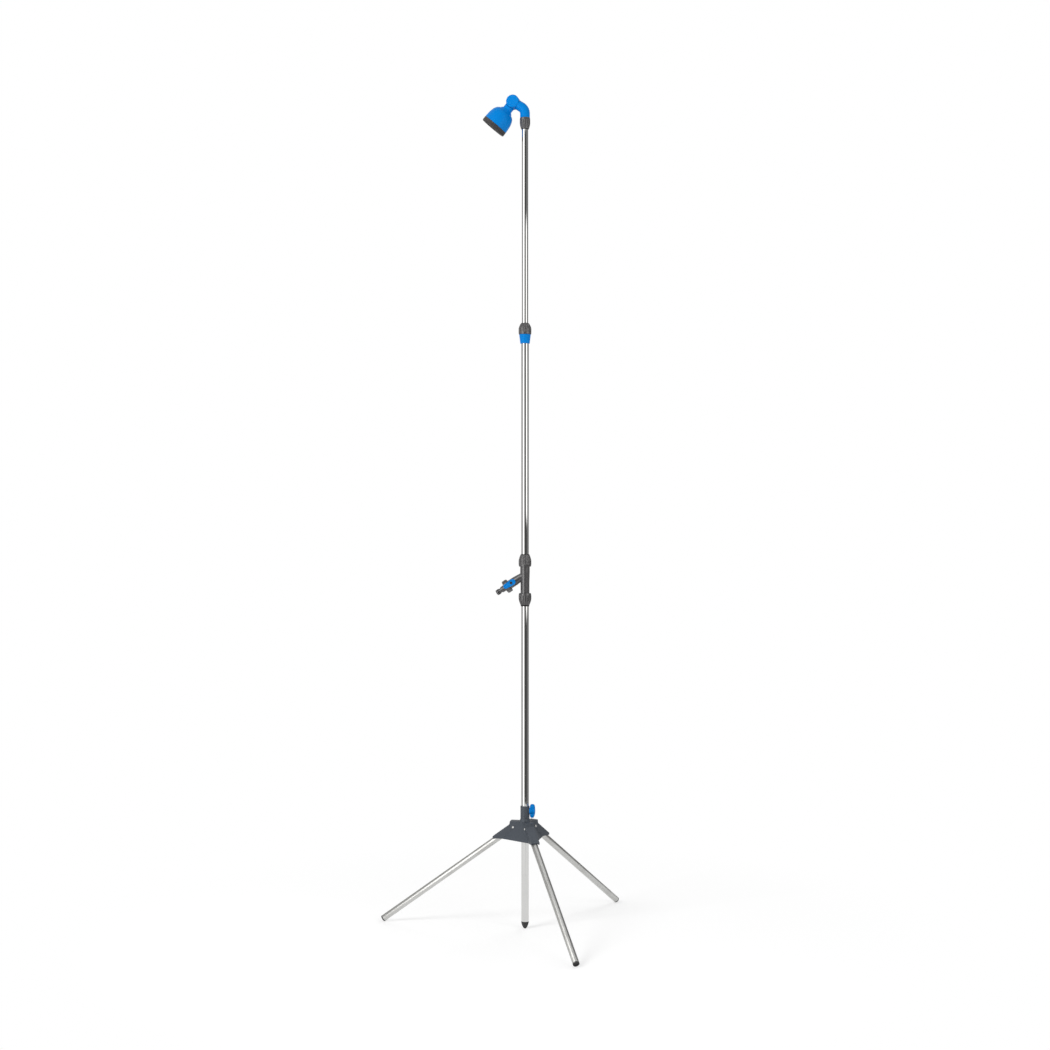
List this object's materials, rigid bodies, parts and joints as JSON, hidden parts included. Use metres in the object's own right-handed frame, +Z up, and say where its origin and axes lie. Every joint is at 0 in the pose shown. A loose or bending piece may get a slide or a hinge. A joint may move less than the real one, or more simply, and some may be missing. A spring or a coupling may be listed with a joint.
{
  "type": "garden shower",
  "caption": "Garden shower on a folding tripod: telescopic pole with ground spike, hose inlet with ball valve, and tilting round spray head.",
  "frame": {"origin": "tip of the ground spike on the pole's axis, level with the tripod's feet on the ground", "axes": "+Z up the pole; the spray head, the hose inlet and the left leg point to -X"},
  "size_m": [0.5736, 0.66, 2.1158],
  "materials": {
    "pole_chrome": "polished",
    "leg_aluminium": "satin",
    "hub_plastic": "fine grain",
    "grey_plastic": "satin",
    "face_plastic": "satin",
    "blue_plastic": "satin gloss",
    "black_plastic": "matte",
    "grip_plastic": "matte",
    "white_plastic": "smooth",
    "rubber": "matte",
    "steel": "bright",
    "ball_chrome": "polished",
    "brass": "turned"
  },
  "bodies": {
    "hub": {"tripod_hub": "hub_plastic", "leg_pivot_pins": "steel", "clamp_insert": "brass"},
    "clamp_pad": {"clamp_pad": "black_plastic"},
    "clamp_screw": {"clamp_knob": "blue_plastic", "clamp_stud": "steel"},
    "left_leg": {"left_leg_head": "black_plastic", "left_leg_tube": "leg_aluminium", "left_foot": "black_plastic"},
    "right_leg": {"right_leg_head": "black_plastic", "right_leg_tube": "leg_aluminium", "right_foot": "black_plastic"},
    "front_leg": {"front_leg_head": "black_plastic", "front_leg_tube": "leg_aluminium", "front_foot": "black_plastic"},
    "lower_pole": {"spike_tip": "black_plastic", "lower_tube": "pole_chrome", "tube_plug": "black_plastic", "tube_plug_o_ring": "rubber"},
    "inlet": {"inlet_body": "grey_plastic", "mid_tube": "pole_chrome", "clamp_body": "blue_plastic", "lower_seal": "rubber", "upper_seal": "rubber", "clamp_seal": "rubber", "valve_seats": "white_plastic", "valve_retainer": "black_plastic", "stem_o_ring": "rubber"},
    "lower_grip": {"lower_grip_ring": "grip_plastic"},
    "lower_nut": {"lower_nut": "grey_plastic"},
    "upper_grip": {"upper_grip_ring": "grip_plastic"},
    "upper_nut": {"upper_nut": "grey_plastic"},
    "valve": {"valve_ball": "ball_chrome", "valve_stem": "steel", "valve_lever": "blue_plastic", "lever_screw": "steel"},
    "spigot": {"hose_spigot": "grey_plastic", "spigot_o_ring": "rubber", "inlet_washer": "rubber"},
    "collar": {"union_collar": "grey_plastic"},
    "clamp_grip": {"clamp_grip_ring": "grip_plastic"},
    "clamp_nut": {"clamp_nut": "grey_plastic"},
    "upper_pole": {"upper_tube": "pole_chrome", "guide_bush": "black_plastic", "guide_o_rings": "rubber"},
    "elbow": {"elbow": "blue_plastic", "elbow_seal": "rubber", "knuckle_sleeve": "black_plastic", "knuckle_o_rings": "rubber", "knuckle_cap": "blue_plastic", "cap_screw": "steel"},
    "elbow_grip": {"elbow_grip_ring": "grip_plastic"},
    "elbow_nut": {"elbow_nut": "grey_plastic"},
    "head": {"head_shell": "blue_plastic", "head_rim": "grey_plastic", "spray_plate": "face_plastic", "head_gasket": "rubber"}
  },
  "joints": [
    {"name": "left_leg_fold", "type": "hinge", "parent": "hub", "child": "left_leg", "pos_m": [-0.029, 0, 0.25698], "axis": [0, -1, 0], "range_deg": [0, 54]},
    {"name": "right_leg_fold", "type": "hinge", "parent": "hub", "child": "right_leg", "pos_m": [0.0145, 0.02511, 0.25698], "axis": [-0.866, 0.5, 0], "range_deg": [0, 54]},
    {"name": "front_leg_fold", "type": "hinge", "parent": "hub", "child": "front_leg", "pos_m": [0.0145, -0.02511, 0.25698], "axis": [0.866, 0.5, 0], "range_deg": [0, 54]},
    {"name": "clamp_screw_travel", "type": "slide", "parent": "hub", "child": "clamp_pad", "axis": [1, 0, 0], "range_m": [0, 0.00125]},
    {"name": "clamp_knob_turn", "type": "hinge", "parent": "clamp_pad", "child": "clamp_screw", "pos_m": [0.02, 0, 0.29848], "axis": [1, 0, 0], "range_deg": [0, 450]},
    {"name": "pole_height", "type": "slide", "parent": "hub", "child": "lower_pole", "axis": [0, 0, 1], "range_m": [-0.49, 0.19]},
    {"name": "inlet_swivel", "type": "hinge", "parent": "lower_pole", "child": "inlet", "pos_m": [0, 0, 0.864], "axis": [0, 0, 1], "continuous": true},
    {"name": "lower_grip_travel", "type": "slide", "parent": "inlet", "child": "lower_grip", "axis": [0, 0, -1], "range_m": [0, 0.0015]},
    {"name": "lower_nut_turn", "type": "hinge", "parent": "lower_grip", "child": "lower_nut", "pos_m": [0, 0, 0.836], "axis": [0, 0, -1], "range_deg": [0, 180]},
    {"name": "upper_grip_travel", "type": "slide", "parent": "inlet", "child": "upper_grip", "axis": [0, 0, 1], "range_m": [0, 0.0015]},
    {"name": "upper_nut_turn", "type": "hinge", "parent": "upper_grip", "child": "upper_nut", "pos_m": [0, 0, 0.933], "axis": [0, 0, 1], "range_deg": [0, 180]},
    {"name": "valve_lever_turn", "type": "hinge", "parent": "inlet", "child": "valve", "pos_m": [-0.03187, 0, 0.8773], "axis": [0, 1, 0], "range_deg": [0, 90]},
    {"name": "spigot_travel", "type": "slide", "parent": "inlet", "child": "spigot", "axis": [-0.8387, 0, -0.5446], "range_m": [0, 0.000902]},
    {"name": "collar_turn", "type": "hinge", "parent": "spigot", "child": "collar", "pos_m": [-0.04613, 0, 0.86804], "axis": [-0.8387, 0, -0.5446], "range_deg": [0, 180]},
    {"name": "clamp_grip_travel", "type": "slide", "parent": "inlet", "child": "clamp_grip", "axis": [0, 0, 1], "range_m": [0, 0.0015]},
    {"name": "clamp_nut_turn", "type": "hinge", "parent": "clamp_grip", "child": "clamp_nut", "pos_m": [0, 0, 1.521], "axis": [0, 0, 1], "range_deg": [0, 180]},
    {"name": "upper_pole_slide", "type": "slide", "parent": "inlet", "child": "upper_pole", "axis": [0, 0, 1], "range_m": [-0.48, 0.035]},
    {"name": "elbow_swivel", "type": "hinge", "parent": "upper_pole", "child": "elbow", "pos_m": [0, 0, 2.05], "axis": [0, 0, 1], "continuous": true},
    {"name": "elbow_grip_travel", "type": "slide", "parent": "elbow", "child": "elbow_grip", "axis": [0, 0, -1], "range_m": [0, 0.0015]},
    {"name": "elbow_nut_turn", "type": "hinge", "parent": "elbow_grip", "child": "elbow_nut", "pos_m": [0, 0, 2.044], "axis": [0, 0, -1], "range_deg": [0, 180]},
    {"name": "head_tilt", "type": "hinge", "parent": "elbow", "child": "head", "pos_m": [-0.03019, 0, 2.09931], "axis": [0, 1, 0], "range_deg": [-20, 60]}
  ],
  "couplings": [
    {"joint": "clamp_screw_travel", "follows": "clamp_knob_turn", "m_per_rad": 0.0001591},
    {"joint": "lower_grip_travel", "follows": "lower_nut_turn", "m_per_rad": 0.0004774},
    {"joint": "upper_grip_travel", "follows": "upper_nut_turn", "m_per_rad": 0.0004774},
    {"joint": "spigot_travel", "follows": "collar_turn", "m_per_rad": 0.0002864},
    {"joint": "clamp_grip_travel", "follows": "clamp_nut_turn", "m_per_rad": 0.0004774},
    {"joint": "elbow_grip_travel", "follows": "elbow_nut_turn", "m_per_rad": 0.0004774}
  ]
}
